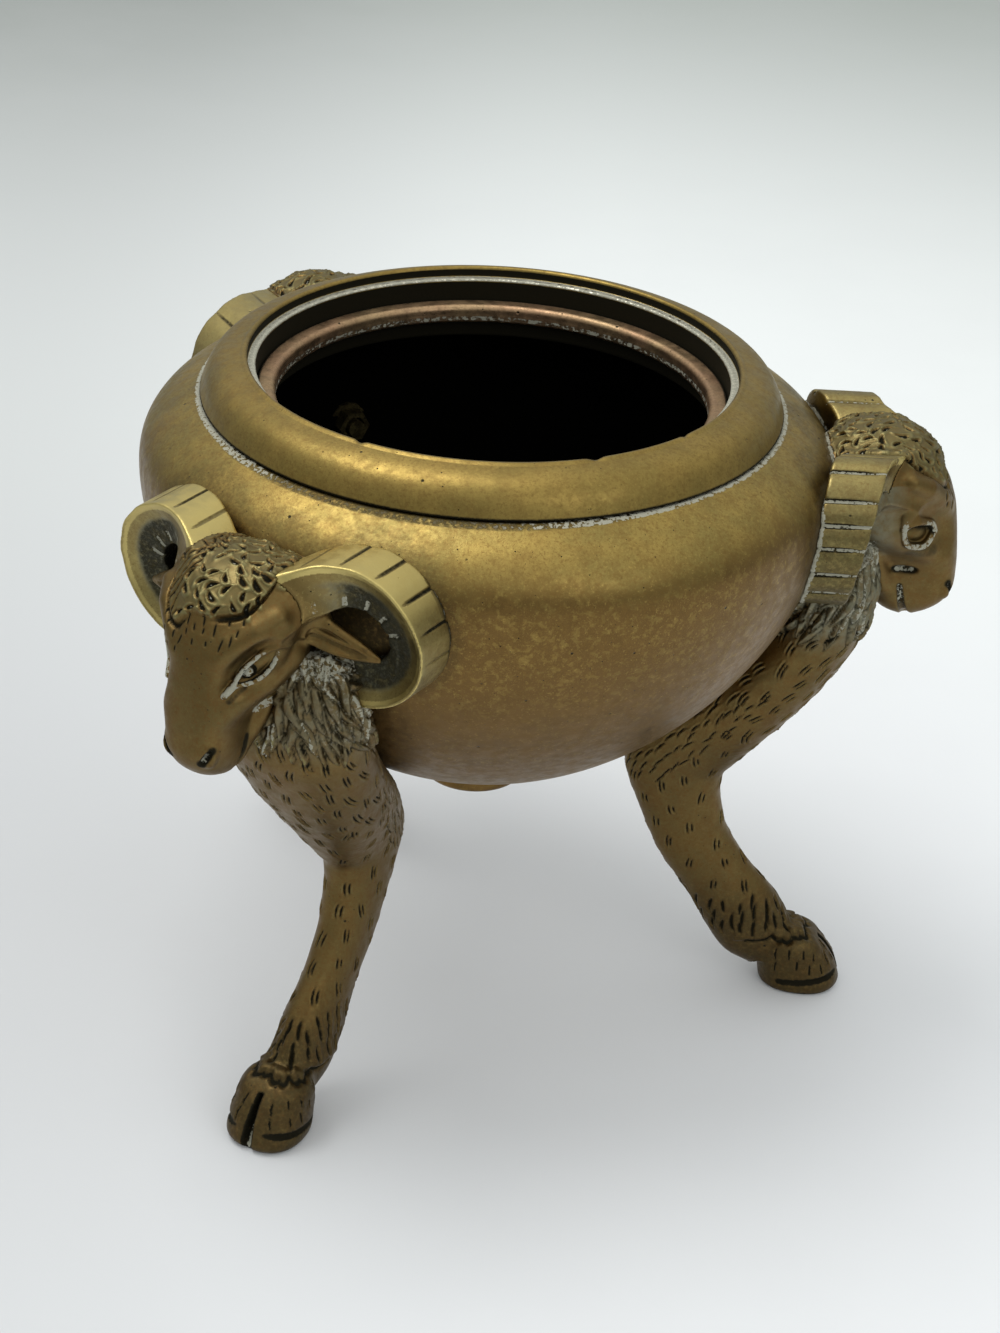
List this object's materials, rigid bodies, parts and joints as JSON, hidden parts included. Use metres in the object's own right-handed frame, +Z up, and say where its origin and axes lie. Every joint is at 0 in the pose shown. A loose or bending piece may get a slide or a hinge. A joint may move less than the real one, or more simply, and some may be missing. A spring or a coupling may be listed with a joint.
{
  "type": "bronze tripod censer",
  "caption": "Squat round bronze incense bowl with a stepped open mouth, standing on goat legs that rise to rams' heads with coiled horns.",
  "frame": {"origin": "on the floor, at the middle of the outline seen from above", "axes": "+Z up along the bowl's axis, +X towards the leg whose ram looks along +X"},
  "size_m": [0.1306, 0.1298, 0.1129],
  "materials": {
    "bowl_bronze": "satin olive patina",
    "collar_bronze": "satin golden patina",
    "copper_bronze": "dull copper-brown patina",
    "cast_bronze": "satin cast surface with dark recesses",
    "horn_bronze": "satin cast surface, rubbed bright on the edges",
    "dull_brass": "dull and dark"
  },
  "bodies": {
    "root": {"bowl": "bowl_bronze", "collar_ring": "collar_bronze", "mouth_ring": "copper_bronze", "base_boss": "bowl_bronze", "base_washer": "dull_brass", "base_nut": "dull_brass", "leg_a": "cast_bronze", "ram_head_a": "cast_bronze", "horn_left_a": "horn_bronze", "horn_right_a": "horn_bronze", "head_stud_a": "dull_brass", "head_washer_a": "dull_brass", "head_nut_a": "dull_brass", "leg_b": "cast_bronze", "ram_head_b": "cast_bronze", "horn_left_b": "horn_bronze", "horn_right_b": "horn_bronze", "head_stud_b": "dull_brass", "head_washer_b": "dull_brass", "head_nut_b": "dull_brass", "leg_c": "cast_bronze", "ram_head_c": "cast_bronze", "horn_left_c": "horn_bronze", "horn_right_c": "horn_bronze", "head_stud_c": "dull_brass", "head_washer_c": "dull_brass", "head_nut_c": "dull_brass"}
  },
  "joints": []
}
